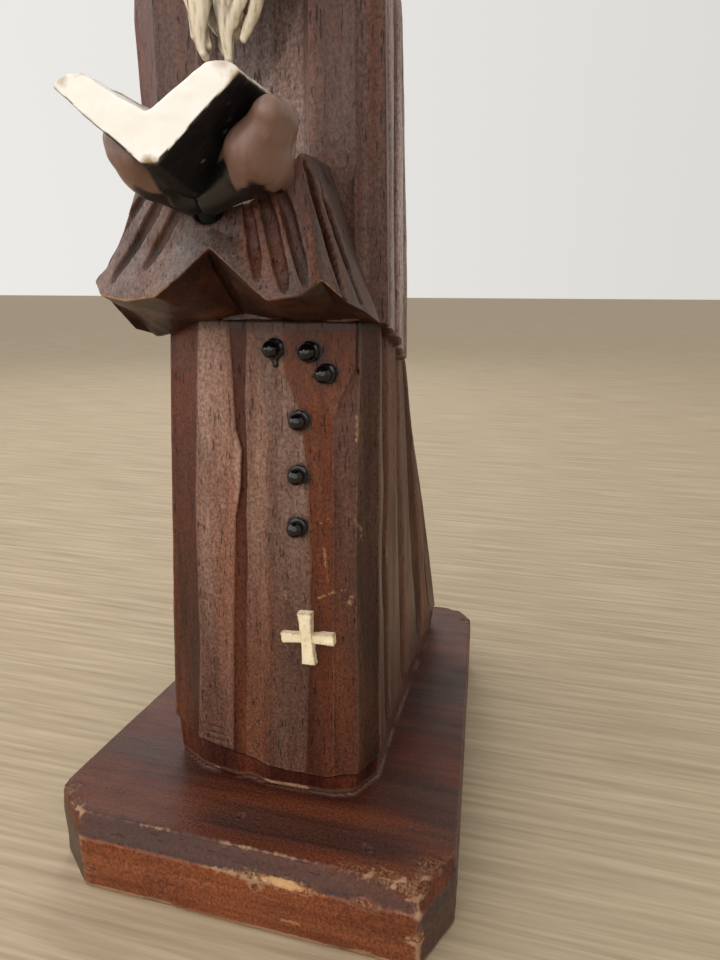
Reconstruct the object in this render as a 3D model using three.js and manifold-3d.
// A carved wooden figurine of a monk reading a book, standing on a bevelled plinth.
// Millimetres, +Z up, the monk faces -Y, origin at the middle of the plinth's underside.
// Each glued, pegged, pinned or screwed piece is a mesh of its own, with a glue gap to its neighbours.

import * as THREE from 'three';
import { mergeVertices } from 'three/addons/utils/BufferGeometryUtils.js';
import Module from 'manifold-3d';

const wasm = await Module();
wasm.setup();

// ---- driving dimensions ----
const GLUE_GAP = 0.3;
const BASE_HEIGHT = 20;
const BASE_BEVEL_HEIGHT = 4.5;
const ROBE_BOTTOM = BASE_HEIGHT + GLUE_GAP;
const FOOT_Z = 27;
const SOLE_NARROWING = 0.95;
const SOLE_SETBACK = 1.6;
const HEM_Z = 141;
const MANTLE_DROP = 13;
const WAIST_Z = 160;
const CHEST_Z = 205;
const COLLAR_Z = 234;
const HEAD_CENTRE = new THREE.Vector3(0, -22, 249.5);
const HEAD_RADII = new THREE.Vector3(13.4, 16.5, 20.5);
const NECK_RADIUS = 8.6;
const NECK_SEAT_Z = 226;
const NECK_Y = -13;
const NECK_LENGTH = 18;
const BEAD_RADIUS = 2.05;
const PIN_RADIUS = 0.55;
const PIN_LENGTH = 10;
const SCREW_SHANK_RADIUS = 2;
const SCREW_HEAD_RADIUS = 4;
const SCREW_LENGTH = 42;
const DOWEL_RADIUS = 2.5;
const SLEEVE_DOWEL_LENGTH = 22;
const NECK_DOWEL_RADIUS = 3;
const NECK_DOWEL_LENGTH = 26;
const BOOK_DOWEL_RADIUS = 1;
const CROSS_HEIGHT = 14;
const CROSS_WIDTH = 14.2;
const CROSS_UPRIGHT_WIDTH = 3.1;
const CROSS_BAR_WIDTH = 2.6;
const CROSS_THICKNESS = 2.4;
const CROSS_INSET = 1.2;
const CROSS_CUT_OVERRUN = 3;
const CROSS_CUT_REACH = 2;

// Plinth outline at the table and on top, anticlockwise from the front left chamfer.
// Only the front is bevelled.
const BASE_OUTLINE = [
  [-52.8, -61.7], [-41, -71], [45.8, -71.6], [52.3, -57.3],
  [42.3, 62.1], [36.1, 70.6], [-38, 70.6], [-44.5, 62.1],
];
const BASE_TOP_OUTLINE = [
  [-53.6, -60.2], [-42.8, -67.2], [44.2, -67.4], [51.6, -56],
  [41.9, 62.2], [35.8, 70.2], [-38, 70.2], [-45.2, 62],
];

// Carved ridges round the skirt, anticlockwise from the front left corner: foot x, y then hem x, y.
const SKIRT_RIDGES = [
  [-30.8, -39.5, -24.8, -36], [-20.6, -44.8, -16.5, -38.4],
  [-9.6, -46.4, -7.4, -39.4], [-6.8, -45.4, -4.9, -38.6],
  [-0.4, -47, 0.8, -39.6], [11, -46.8, 10.6, -39.4], [18.6, -46.6, 17.2, -38.8], [24, -44.8, 22.2, -37.4],
  [28.6, -36.6, 26.4, -32], [28.1, -14, 26.6, -16], [28.3, 14, 24.6, -2], [29, 38, 21.6, 9],
  [28.6, 56.5, 16.6, 14.5], [21, 64, 6, 16.6], [-20, 64, -6, 16.6], [-28.6, 56.5, -16.8, 14.5],
  [-29.4, 38, -22, 9], [-29.2, 12, -24.8, -4], [-29.6, -14, -26, -18], [-30.8, -31, -26.2, -29],
];

// The same ridges where the mantle and the arms lie over the skirt: lower x, y then chest x, y.
const MANTLE_RIDGES = [
  [-29, -33.5, -29.4, -34], [-23, -39.4, -22, -38.6], [-12.4, -39.4, -12, -38.2], [-9.6, -36, -10, -33.6],
  [0, -36, 0, -32.8], [9.8, -36, 10.2, -33.6], [12.6, -39.4, 12.4, -38.2], [23, -39.2, 22.2, -38.4],
  [28.8, -34, 27.6, -34.6], [29, -20, 28, -21], [27.4, -4, 25.8, -8], [24.4, 9, 22.6, 5],
  [17.6, 18.4, 16.4, 13.6], [7, 20.6, 7, 17.2], [-7, 20.6, -7, 17.2], [-17.8, 18.4, -16.6, 13.6],
  [-24.8, 9, -23, 5], [-28, -4, -27, -8], [-29.8, -18, -29.4, -20], [-30, -27, -29.8, -28],
];

// Stations along the sleeves from the monk's right elbow to the left:
// cuff line, hem, back of the underside.
const SLEEVE_STATIONS = [
  [[-28, -40, 146], [-29.6, -43, 138.6], [-27, -36, 136.9]],
  [[-26, -46, 154.5], [-31.4, -49.5, 145.2], [-27.5, -38, 136.8]],
  [[-22, -51, 164], [-31.2, -55, 149.8], [-26.5, -38.5, 136.9]],
  [[-19, -55, 169], [-27.8, -58.6, 146.9], [-23, -38, 137.6]],
  [[-14, -58, 166], [-19, -63, 145.8], [-18, -38, 140]],
  [[-8, -59, 164], [-11, -65.5, 146.8], [-11, -38, 141]],
  [[-4, -59.5, 163.3], [-5, -65, 151], [-7, -38, 142]],
  [[0, -60, 163], [0.2, -63, 156], [-4, -38, 142.5]],
  [[4, -60, 163.3], [5.5, -65, 152], [1, -38, 141.6]],
  [[8, -60, 164.5], [12.6, -66, 146.2], [9, -38, 141]],
  [[13, -59.5, 168], [18.6, -64.6, 147], [15, -38, 141]],
  [[17.5, -58, 173], [21.7, -60, 150], [19.5, -37.5, 141]],
  [[21, -52, 164.4], [25.2, -55, 145.7], [23, -36.5, 141]],
  [[23.8, -47, 154.9], [27, -47.5, 143.6], [25.5, -35, 140.8]],
  [[26.5, -41, 146.5], [28.6, -41, 141], [26.5, -33, 140.2]],
];

const SCREW_PLACES = [new THREE.Vector3(0, -22, 0), new THREE.Vector3(0, 34, 0)];
const SCREW_SEAT_Z = 1.5;
const SCREW_HEAD_RIM = 0.6;
const SCREW_HEAD_HEIGHT = 2.8;
const SCREW_POINT_LENGTH = 4;
const SCREW_SLOT_WIDTH = 1.1;
const SCREW_SLOT_DEPTH = 1;
const SLEEVE_DOWEL_PLACES = [-17, 17].map((x) => new THREE.Vector3(x, -24, 152));
const NECK_DOWEL_START = new THREE.Vector3(0, NECK_Y, 214);

// Shoulders draw in to the collar about an axis behind the face.
const SHOULDER_STEPS = [
  [212, 0.985], [218, 0.93], [223.5, 0.82], [228, 0.66], [231.5, 0.53], [COLLAR_Z, 0.46],
];
const SHOULDER_AXIS_Y = -11;

// The hood lies down the back as a leaning egg.
const HOOD_CENTRE = new THREE.Vector3(0, 10.5, 211);
const HOOD_RADII = new THREE.Vector3(16.5, 8.5, 20);
const HOOD_LEAN = THREE.MathUtils.degToRad(14);

// The sleeve block's inner end, hidden in the hollow that it is glued into.
const SLEEVE_BACK_Y = -30;
const SLEEVE_BACK_TAPER = 0.9;
const ARM_TAPER = 0.97;
const ARM_Y = -38;
const ARM_RISE = 0.6;
const SLEEVE_BACK_RISE = 2;
const SLOPE_HOLLOW = 0.8;

// The open V at one end: half width out to the fore-edges, heights of the fold and of the fore-edges.
const BOOK_MIDDLE_X = -1.2;
const BOOK_HALF_WIDTH = 17;
const BOOK_THICKNESS = 7.9;
const BOOK_ENDS = [
  { y: -80, foldZ: 168.2, edgeZ: 182.4 },
  { y: -58, foldZ: 162.4, edgeZ: 181.4 },
];
const COVER_HALF_SPINE = 1.6;
const FORE_EDGE_WIDTH = 6;

const WRIST_RADIUS = 3.6;
const WRIST_LENGTH = 16;
const PALM_RADII = new THREE.Vector3(5, 7.5, 5.8);
const FINGER_COUNT = 4;
const FINGER_RADIUS = 2.1;
const FINGER_SPACING = 3.9;
const FINGER_DROP = 0.5;
// Each hand: side of the book, middle of the palm, first finger's root and how far the fingers reach up.
const LEFT_HAND = { side: 1, palm: [11.6, -66, 170.2], finger: [11.4, -74.2, 171], reach: 8.6 };
const RIGHT_HAND = { side: -1, palm: [-8.8, -67, 171.2], finger: [-8.8, -73.6, 171.6], reach: 4.4 };

// Beard sections: height, centre x and y, half width, half depth.
const BEARD_SECTIONS = [
  [191, -2.6, -47.6, 3.4, 1.8], [195, -2.2, -47.2, 5.8, 2.8], [201, -1.4, -46.4, 8.6, 3.8],
  [208, -0.8, -44.8, 9.9, 4.8], [217, -0.4, -41.6, 11.2, 6.2], [226, 0, -37.6, 12.2, 7.6],
  [235, 0, -33, 12.6, 8.6], [242, 0, -29, 11.6, 8],
];
const BROW = { centre: new THREE.Vector3(0, -36.4, 252), radii: new THREE.Vector3(8.6, 3, 2.2) };
const NOSE = { centre: new THREE.Vector3(0, -39.2, 246.6), radii: new THREE.Vector3(2.1, 2.9, 4.6) };

const BOOK_DOWEL_START = new THREE.Vector3(BOOK_MIDDLE_X, -58, 155);
const BOOK_DOWEL_DIRECTION = new THREE.Vector3(0, -0.2, 0.98).normalize();
const BOOK_DOWEL_LENGTH = 11;

// Bead centres on the skirt front: x, z.
const BEAD_PLACES = [[3.4, 134.9], [11.9, 134.4], [15.7, 129.6], [9.6, 118.7], [9.3, 105.8], [9, 93]];
const CROSS_PLACE = [11.6, 64.8];
const CROSS_TILT = THREE.MathUtils.degToRad(4);

const WALNUT = { color: 0x4a2a1c, roughness: 0.5, metalness: 0 };
const BASE_STAIN = { color: 0x4d2716, roughness: 0.45, metalness: 0 };
const LIMEWOOD = { color: 0xc9b391, roughness: 0.6, metalness: 0 };
const BONE = { color: 0xd9cdb0, roughness: 0.5, metalness: 0 };
const BOOK_PAINT = { color: 0x15171a, roughness: 0.4, metalness: 0 };
const SKIN_PAINT = { color: 0x7b5a4c, roughness: 0.5, metalness: 0 };
const BLACK_GLOSS = { color: 0x0a0a0b, roughness: 0.15, metalness: 0 };
const STEEL = { color: 0x9a9a9a, roughness: 0.35, metalness: 1 };
const BEECH = { color: 0xc8a070, roughness: 0.7, metalness: 0 };

// ---- solids ----
function toSolid(geometry) {
  const bare = geometry.index ? geometry.clone() : mergeVertices(geometry.clone());
  bare.deleteAttribute('normal');
  bare.deleteAttribute('uv');
  const merged = mergeVertices(bare, 1e-4);
  const solid = new wasm.Manifold(new wasm.Mesh({
    numProp: 3,
    vertProperties: new Float32Array(merged.attributes.position.array),
    triVerts: new Uint32Array(merged.index.array),
  }));
  return solid;
}

function largest(solid) {
  const pieces = solid.decompose();
  pieces.sort((a, b) => b.volume() - a.volume());
  return pieces[0];
}

function toMesh(name, solid, finish) {
  const cut = solid.getMesh();
  const geometry = new THREE.BufferGeometry();
  geometry.setAttribute('position', new THREE.BufferAttribute(new Float32Array(cut.vertProperties), 3));
  geometry.setIndex(new THREE.BufferAttribute(new Uint32Array(cut.triVerts), 1));
  geometry.computeVertexNormals();
  const mesh = new THREE.Mesh(geometry, new THREE.MeshStandardMaterial(finish));
  mesh.name = name;
  return mesh;
}

const middleOf = (ring) => ring.reduce((sum, p) => sum.map((v, k) => v + p[k] / ring.length), [0, 0, 0]);

// A closed solid through rings of points.
// All rings run the same way and each end is a flat fan about a centre,
// which lies in sight of the whole end.
function loft(rings, firstCentre = middleOf(rings[0]), lastCentre = middleOf(rings[rings.length - 1])) {
  const count = rings[0].length;
  const positions = [];
  rings.forEach((ring) => ring.forEach((p) => positions.push(p[0], p[1], p[2])));
  const faces = [];
  for (let level = 0; level < rings.length - 1; level += 1) {
    for (let i = 0; i < count; i += 1) {
      const j = (i + 1) % count;
      const a = level * count;
      const b = a + count;
      faces.push(a + i, a + j, b + j, a + i, b + j, b + i);
    }
  }
  const addCap = (middle, offset, flip) => {
    const centre = positions.length / 3;
    positions.push(...middle);
    for (let i = 0; i < count; i += 1) {
      const j = (i + 1) % count;
      const pair = flip ? [offset + j, offset + i] : [offset + i, offset + j];
      faces.push(centre, ...pair);
    }
  };
  addCap(firstCentre, 0, true);
  addCap(lastCentre, (rings.length - 1) * count, false);
  const geometry = new THREE.BufferGeometry();
  geometry.setAttribute('position', new THREE.BufferAttribute(new Float32Array(positions), 3));
  geometry.setIndex(faces);
  return toSolid(geometry);
}

function cylinderAlong(start, direction, length, radius, sides = 20) {
  const geometry = new THREE.CylinderGeometry(radius, radius, length, sides);
  const axis = direction.clone().normalize();
  geometry.applyQuaternion(new THREE.Quaternion().setFromUnitVectors(new THREE.Vector3(0, 1, 0), axis));
  const middle = start.clone().addScaledVector(axis, length / 2);
  geometry.translate(middle.x, middle.y, middle.z);
  return toSolid(geometry);
}

function ellipsoid(centre, radii, columns = 28, rows = 18) {
  const geometry = new THREE.SphereGeometry(1, columns, rows);
  geometry.scale(radii.x, radii.y, radii.z);
  geometry.translate(centre.x, centre.y, centre.z);
  return toSolid(geometry);
}

const FORWARD = new THREE.Vector3(0, -1, 0);
const UPWARD = new THREE.Vector3(0, 0, 1);
const mix = THREE.MathUtils.lerp;
const smooth = THREE.MathUtils.smoothstep;

// ---- plinth ----
function basePlinth() {
  const ring = (outline, z) => outline.map(([x, y]) => [x, y, z]);
  return loft([
    ring(BASE_OUTLINE, 0),
    ring(BASE_OUTLINE, BASE_HEIGHT - BASE_BEVEL_HEIGHT),
    ring(BASE_TOP_OUTLINE, BASE_HEIGHT),
  ]);
}

// ---- screws from below ----

function screwProfile(clearance) {
  const head = SCREW_HEAD_RADIUS + clearance;
  const shank = SCREW_SHANK_RADIUS + clearance;
  const bottom = SCREW_SEAT_Z - clearance * 6;
  const top = SCREW_SEAT_Z + SCREW_LENGTH + clearance;
  const points = [[0, bottom], [head, bottom], [head, SCREW_SEAT_Z + SCREW_HEAD_RIM],
    [shank, SCREW_SEAT_Z + SCREW_HEAD_HEIGHT], [shank, top - SCREW_POINT_LENGTH], [0, top]];
  return points.map(([r, z]) => new THREE.Vector2(r, z));
}

function screwSolid(place, clearance) {
  const geometry = new THREE.LatheGeometry(screwProfile(clearance), 20);
  geometry.rotateX(Math.PI / 2);
  geometry.translate(place.x, place.y, 0);
  return toSolid(geometry);
}

function slottedScrew(place) {
  const slot = new THREE.BoxGeometry(SCREW_HEAD_RADIUS * 2 + 1, SCREW_SLOT_WIDTH, SCREW_SLOT_DEPTH * 2);
  slot.translate(place.x, place.y, SCREW_SEAT_Z);
  return screwSolid(place, 0).subtract(toSolid(slot));
}

// ---- robe ----
// The front drops straight while the back sweeps out into a train.
function skirtRidge([footX, footY, hemX, hemY], z) {
  const down = (HEM_Z - z) / (HEM_Z - FOOT_Z);
  const behind = smooth(footY, -20, 40);
  const spread = Math.pow(down, mix(1, 0.5, behind));
  return [mix(hemX, footX, spread), mix(hemY, footY, Math.pow(down, mix(1, 1.12, behind))), z];
}

function mantleHemZ(y) {
  return HEM_Z - MANTLE_DROP * smooth(y, -40, 4);
}

function mantleRidge([lowX, lowY, chestX, chestY], z) {
  const up = THREE.MathUtils.clamp((z - HEM_Z) / (CHEST_Z - HEM_Z), 0, 1);
  return [mix(lowX, chestX, up), mix(lowY, chestY, up), z];
}

// The whole robe; outward and down enlarge and lower it to make the form that hollows the sleeves.
function robeBlank(outward, down) {
  const grow = ([x, y, z]) => {
    const share = outward / Math.hypot(x, y - SHOULDER_AXIS_Y);
    return [x * (1 + share), y + (y - SHOULDER_AXIS_Y) * share, z - down];
  };
  const foot = SKIRT_RIDGES.map((r) => skirtRidge(r, FOOT_Z));
  const sole = foot.map(([x, y]) => [x * SOLE_NARROWING, y - Math.sign(y) * SOLE_SETBACK, ROBE_BOTTOM]);
  const rings = [sole, foot];
  for (const z of [45, 63, 81, 99, 115, 128]) {
    rings.push(SKIRT_RIDGES.map((r) => {
      const point = skirtRidge(r, z);
      return [point[0], point[1], Math.min(z, mantleHemZ(point[1]) - (132 - z) * 0.4)];
    }));
  }
  rings.push(SKIRT_RIDGES.map((r) => {
    const top = skirtRidge(r, HEM_Z);
    return [top[0], top[1], mantleHemZ(top[1])];
  }));
  rings.push(MANTLE_RIDGES.map((r) => {
    const low = mantleRidge(r, HEM_Z);
    return [low[0], low[1], mantleHemZ(low[1]) + 0.2];
  }));
  for (const z of [148, WAIST_Z, 175, 190, CHEST_Z]) {
    rings.push(MANTLE_RIDGES.map((r) => mantleRidge(r, z)));
  }
  for (const [z, scale] of SHOULDER_STEPS) {
    rings.push(MANTLE_RIDGES.map((r) => {
      const [x, y] = mantleRidge(r, CHEST_Z);
      return [x * scale, SHOULDER_AXIS_Y + (y - SHOULDER_AXIS_Y) * scale, z];
    }));
  }
  return loft(rings.map((ring) => ring.map(grow)));
}

function hood() {
  const geometry = new THREE.SphereGeometry(1, 24, 16);
  geometry.scale(HOOD_RADII.x, HOOD_RADII.y, HOOD_RADII.z);
  geometry.rotateX(HOOD_LEAN);
  geometry.translate(HOOD_CENTRE.x, HOOD_CENTRE.y, HOOD_CENTRE.z);
  return toSolid(geometry);
}

// ---- sleeves ----
function sleeveBlank() {
  const rings = SLEEVE_STATIONS.map(([cuff, hem, under]) => {
    const innerTop = [cuff[0] * SLEEVE_BACK_TAPER, SLEEVE_BACK_Y, cuff[2] + ARM_RISE];
    const armTop = [cuff[0] * ARM_TAPER, mix(cuff[1], ARM_Y, 0.45), cuff[2] + ARM_RISE];
    const slope = cuff.map((value, axis) => mix(value, hem[axis], 0.5));
    slope[1] += SLOPE_HOLLOW;
    const innerLow = [under[0] * SLEEVE_BACK_TAPER, SLEEVE_BACK_Y, under[2] + SLEEVE_BACK_RISE];
    return [innerTop, armTop, cuff, slope, hem, under, innerLow];
  });
  return loft(rings);
}

// ---- book ----

function bookRing({ y, foldZ, edgeZ }, gap) {
  const page = BOOK_THICKNESS + gap;
  const halfProfile = [
    [COVER_HALF_SPINE, foldZ - gap], [BOOK_HALF_WIDTH - 0.5 + gap, edgeZ - 2.4 - gap],
    [BOOK_HALF_WIDTH + gap, edgeZ - 0.6], [BOOK_HALF_WIDTH - 1.6, edgeZ + gap],
    [BOOK_HALF_WIDTH - FORE_EDGE_WIDTH, edgeZ - 0.2 + gap],
  ];
  const right = halfProfile.map(([x, z]) => [BOOK_MIDDLE_X + x, y, z]);
  const left = halfProfile.map(([x, z]) => [BOOK_MIDDLE_X - x, y, z]).reverse();
  return [...right, [BOOK_MIDDLE_X, y, foldZ + page], ...left];
}

function bookSolid(gap) {
  const [front, back] = BOOK_ENDS;
  const ends = [{ ...back, y: back.y + gap }, { ...front, y: front.y - gap }];
  const centres = ends.map(({ y, foldZ }) => [BOOK_MIDDLE_X, y, foldZ + BOOK_THICKNESS / 2]);
  return loft(ends.map((end) => bookRing(end, gap)), ...centres);
}

// ---- hands ----

// A cupped palm with four fingers laid along the outside of the cover.
// A gap makes the larger form that hollows the cuff for the hand.
function handBlank({ side, palm, finger, reach }, gap) {
  const palmCentre = new THREE.Vector3(...palm);
  const upCover = new THREE.Vector3(side * 0.65, -0.1, 0.75).normalize();
  const wrist = new THREE.Vector3(side * 0.3, 0.95, -0.05).normalize();
  let hand = ellipsoid(palmCentre, PALM_RADII.clone().addScalar(gap), 24, 16);
  for (let index = 0; index < FINGER_COUNT; index += 1) {
    const step = new THREE.Vector3(0, FINGER_SPACING, -FINGER_DROP).multiplyScalar(index);
    const root = new THREE.Vector3(...finger).add(step);
    hand = hand.add(cylinderAlong(root, upCover, reach, FINGER_RADIUS + gap, 12));
    const tipRadius = FINGER_RADIUS + gap + 0.05;
    const tip = root.clone().addScaledVector(upCover, reach);
    hand = hand.add(ellipsoid(tip, new THREE.Vector3(tipRadius, tipRadius, tipRadius), 12, 8));
  }
  return hand.add(cylinderAlong(palmCentre, wrist, WRIST_LENGTH + gap, WRIST_RADIUS + gap, 16));
}

// ---- head ----
function beardRing([z, centreX, centreY, radiusX, radiusY], gap) {
  const ring = [];
  for (let i = 0; i < 20; i += 1) {
    const angle = (i / 20) * Math.PI * 2;
    ring.push([centreX + Math.cos(angle) * (radiusX + gap), centreY + Math.sin(angle) * (radiusY + gap), z]);
  }
  return ring;
}

// Skull, beard and neck; a gap makes the larger form that hollows the collar for them.
function headBlank(gap) {
  const skull = ellipsoid(HEAD_CENTRE, HEAD_RADII.clone().addScalar(gap), 32, 22);
  const beard = loft(BEARD_SECTIONS.map((section) => beardRing(section, gap)));
  const neckStart = new THREE.Vector3(0, NECK_Y, NECK_SEAT_Z + GLUE_GAP - gap);
  const neck = cylinderAlong(neckStart, UPWARD, NECK_LENGTH, NECK_RADIUS + gap, 28);
  return skull.add(beard).add(neck);
}

function headSolid() {
  const brow = ellipsoid(BROW.centre, BROW.radii, 20, 12);
  const nose = ellipsoid(NOSE.centre, NOSE.radii, 16, 12);
  return headBlank(0).add(brow).add(nose);
}

// ---- joints inside ----
const sleeveDowel = (place, gap) => cylinderAlong(
  place.clone().addScaledVector(FORWARD, -gap), FORWARD, SLEEVE_DOWEL_LENGTH + 2 * gap, DOWEL_RADIUS + gap, 16,
);
const neckDowel = (gap) => cylinderAlong(
  NECK_DOWEL_START.clone().addScaledVector(UPWARD, -gap), UPWARD,
  NECK_DOWEL_LENGTH + 2 * gap, NECK_DOWEL_RADIUS + gap, 16,
);
const bookDowel = (gap) => cylinderAlong(
  BOOK_DOWEL_START.clone().addScaledVector(BOOK_DOWEL_DIRECTION, -gap), BOOK_DOWEL_DIRECTION,
  BOOK_DOWEL_LENGTH + 2 * gap, BOOK_DOWEL_RADIUS + gap, 12,
);

// ---- beads, pins and cross ----
// Height of the skirt's front at a bead or the cross, from the carved ridges on each side of it.
function skirtFrontY(x, z) {
  const ridges = SKIRT_RIDGES.slice(0, 9).map((r) => skirtRidge(r, z));
  const right = ridges.findIndex((p) => p[0] > x);
  const [a, b] = [ridges[right - 1], ridges[right]];
  return mix(a[1], b[1], (x - a[0]) / (b[0] - a[0]));
}

function beadCentre([x, z]) {
  return new THREE.Vector3(x, skirtFrontY(x, z) - BEAD_RADIUS * 0.78 - GLUE_GAP, z);
}

function beadSolid(place) {
  const centre = beadCentre(place);
  const seat = new THREE.BoxGeometry(BEAD_RADIUS * 3, BEAD_RADIUS * 2, BEAD_RADIUS * 3);
  seat.translate(centre.x, centre.y + BEAD_RADIUS * 1.78, centre.z);
  const ball = ellipsoid(centre, new THREE.Vector3(BEAD_RADIUS, BEAD_RADIUS, BEAD_RADIUS), 20, 14);
  return ball.subtract(toSolid(seat)).subtract(pinSolid(place, GLUE_GAP));
}

function pinSolid(place, gap) {
  const start = beadCentre(place);
  start.y -= 0.4 + gap;
  return cylinderAlong(start, new THREE.Vector3(0, 1, 0), PIN_LENGTH + 2 * gap, PIN_RADIUS + gap, 12);
}

function crossPart(width, height, yBack, yFront, gap) {
  const box = new THREE.BoxGeometry(width + 2 * gap, yBack - yFront + 2 * gap, height + 2 * gap);
  box.translate(0, (yBack + yFront) / 2, 0);
  box.rotateY(CROSS_TILT);
  const [x, z] = CROSS_PLACE;
  box.translate(x, 0, z);
  return toSolid(box);
}

const CROSS_BACK = skirtFrontY(...CROSS_PLACE) + CROSS_INSET;
const CROSS_FRONT = CROSS_BACK - CROSS_THICKNESS;
const CROSS_LAP = (CROSS_BACK + CROSS_FRONT) / 2;
const crossUprightBlank = (gap) =>
  crossPart(CROSS_UPRIGHT_WIDTH, CROSS_HEIGHT, CROSS_BACK, CROSS_FRONT, gap);
const crossBarBlank = (gap) => crossPart(CROSS_WIDTH, CROSS_BAR_WIDTH, CROSS_BACK, CROSS_FRONT, gap);
const crossLapBack = crossPart(
  CROSS_UPRIGHT_WIDTH + CROSS_CUT_OVERRUN, CROSS_BAR_WIDTH + 2 * GLUE_GAP,
  CROSS_BACK + CROSS_CUT_REACH, CROSS_LAP, 0,
);
const crossLapFront = crossPart(
  CROSS_UPRIGHT_WIDTH + 2 * GLUE_GAP, CROSS_BAR_WIDTH + CROSS_CUT_OVERRUN,
  CROSS_LAP + GLUE_GAP, CROSS_FRONT - CROSS_CUT_REACH, 0,
);

// ---- assembly ----
let robe = robeBlank(0, 0).add(hood());
let sleeves = sleeveBlank();
let base = basePlinth();
let head = headSolid();
let book = bookSolid(0);

for (const place of SCREW_PLACES) {
  base = base.subtract(screwSolid(place, GLUE_GAP));
  robe = robe.subtract(screwSolid(place, GLUE_GAP));
}
robe = robe.subtract(headBlank(GLUE_GAP));
robe = robe.subtract(neckDowel(GLUE_GAP));
head = head.subtract(neckDowel(GLUE_GAP));
for (const place of BEAD_PLACES) {
  robe = robe.subtract(pinSolid(place, GLUE_GAP));
}
robe = robe.subtract(crossUprightBlank(GLUE_GAP)).subtract(crossBarBlank(GLUE_GAP));

for (const down of [-GLUE_GAP, 0, GLUE_GAP]) {
  sleeves = sleeves.subtract(robeBlank(GLUE_GAP, down));
}
sleeves = sleeves.subtract(bookSolid(GLUE_GAP));
for (const place of SLEEVE_DOWEL_PLACES) {
  robe = robe.subtract(sleeveDowel(place, GLUE_GAP));
  sleeves = sleeves.subtract(sleeveDowel(place, GLUE_GAP));
}
sleeves = sleeves.subtract(handBlank(RIGHT_HAND, GLUE_GAP)).subtract(handBlank(LEFT_HAND, GLUE_GAP));
sleeves = sleeves.subtract(bookDowel(GLUE_GAP));
book = book.subtract(bookDowel(GLUE_GAP));
const bookOuter = bookSolid(GLUE_GAP);
const handLeft = handBlank(LEFT_HAND, 0).subtract(bookOuter);
const handRight = handBlank(RIGHT_HAND, 0).subtract(bookOuter);

const figurine = new THREE.Group();
figurine.add(toMesh('base_block', base, BASE_STAIN));
figurine.add(toMesh('robe_body', largest(robe), WALNUT));
figurine.add(toMesh('sleeve_block', largest(sleeves), WALNUT));
figurine.add(toMesh('head', head, LIMEWOOD));
figurine.add(toMesh('book', book, BOOK_PAINT));
figurine.add(toMesh('hand_left', largest(handLeft), SKIN_PAINT));
figurine.add(toMesh('hand_right', largest(handRight), SKIN_PAINT));
figurine.add(toMesh('cross_upright', crossUprightBlank(0).subtract(crossLapBack), BONE));
figurine.add(toMesh('cross_bar', crossBarBlank(0).subtract(crossLapFront), BONE));
BEAD_PLACES.forEach((place, index) => {
  figurine.add(toMesh(`rosary_bead_${index + 1}`, beadSolid(place), BLACK_GLOSS));
  figurine.add(toMesh(`bead_pin_${index + 1}`, pinSolid(place, 0), STEEL));
});
figurine.add(toMesh('base_screw_front', slottedScrew(SCREW_PLACES[0]), STEEL));
figurine.add(toMesh('base_screw_rear', slottedScrew(SCREW_PLACES[1]), STEEL));
figurine.add(toMesh('sleeve_dowel_right', sleeveDowel(SLEEVE_DOWEL_PLACES[0], 0), BEECH));
figurine.add(toMesh('sleeve_dowel_left', sleeveDowel(SLEEVE_DOWEL_PLACES[1], 0), BEECH));
figurine.add(toMesh('neck_dowel', neckDowel(0), BEECH));
figurine.add(toMesh('book_dowel', bookDowel(0), BEECH));

export default figurine;
